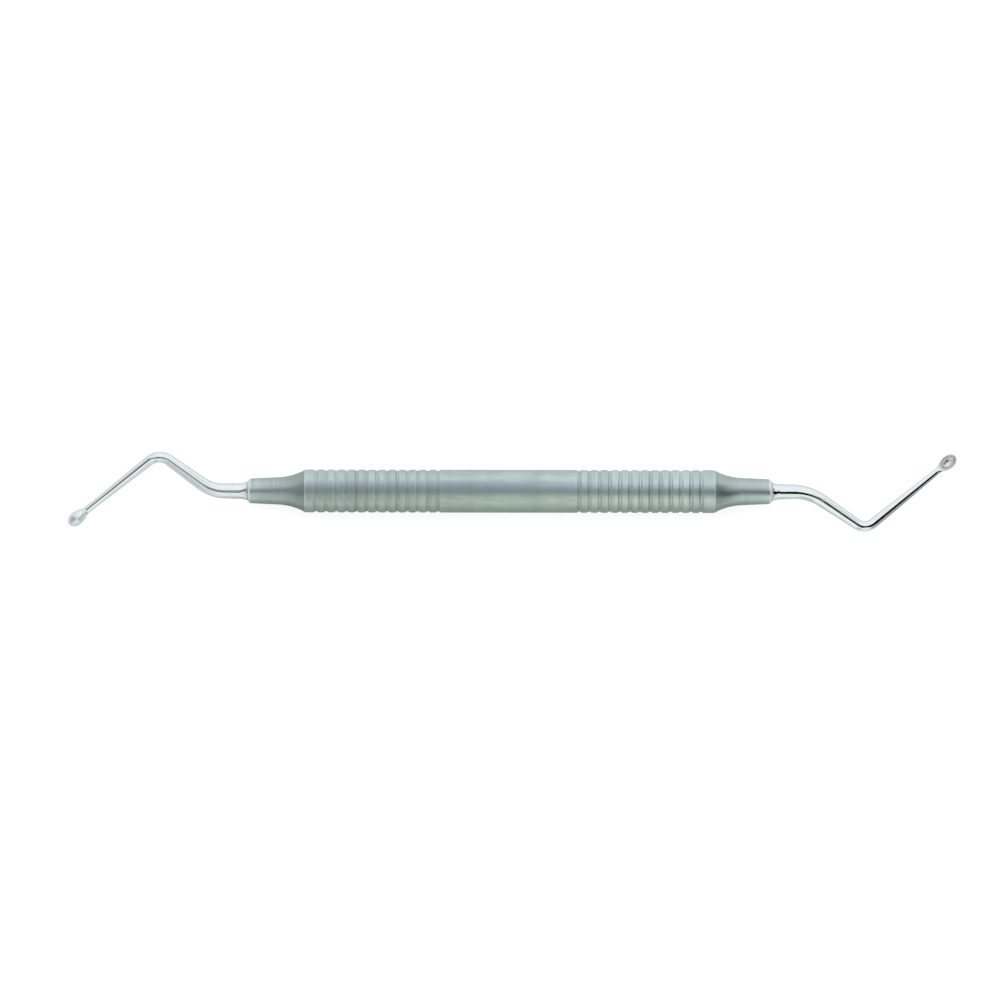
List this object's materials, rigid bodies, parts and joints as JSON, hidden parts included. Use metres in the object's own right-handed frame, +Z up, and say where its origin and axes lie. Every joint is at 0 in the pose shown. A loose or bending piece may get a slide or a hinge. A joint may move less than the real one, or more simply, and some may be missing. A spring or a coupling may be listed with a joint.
{
  "type": "double-ended bone curette",
  "caption": "Double-ended surgical bone curette: hollow round handle with grooved grip bands, flared end cones, and a bent tapering shank with a small hollow spoon at each end.",
  "frame": {"origin": "middle of the line along which the plain middle of the barrel rests on a table, half way along the barrel", "axes": "+X along the handle towards the tip whose spoon opens upwards, +Z up, and +Y completes the frame in the plane of the bends"},
  "size_m": [0.1752, 0.0156, 0.0085],
  "materials": {
    "satin_steel": "fine bead-blasted satin stainless steel",
    "polished_steel": "bright polished stainless steel"
  },
  "bodies": {
    "root": {"handle_barrel": "satin_steel", "end_cone_left": "satin_steel", "end_cone_right": "satin_steel", "curette_tip_left": "polished_steel", "curette_tip_right": "polished_steel"}
  },
  "joints": []
}
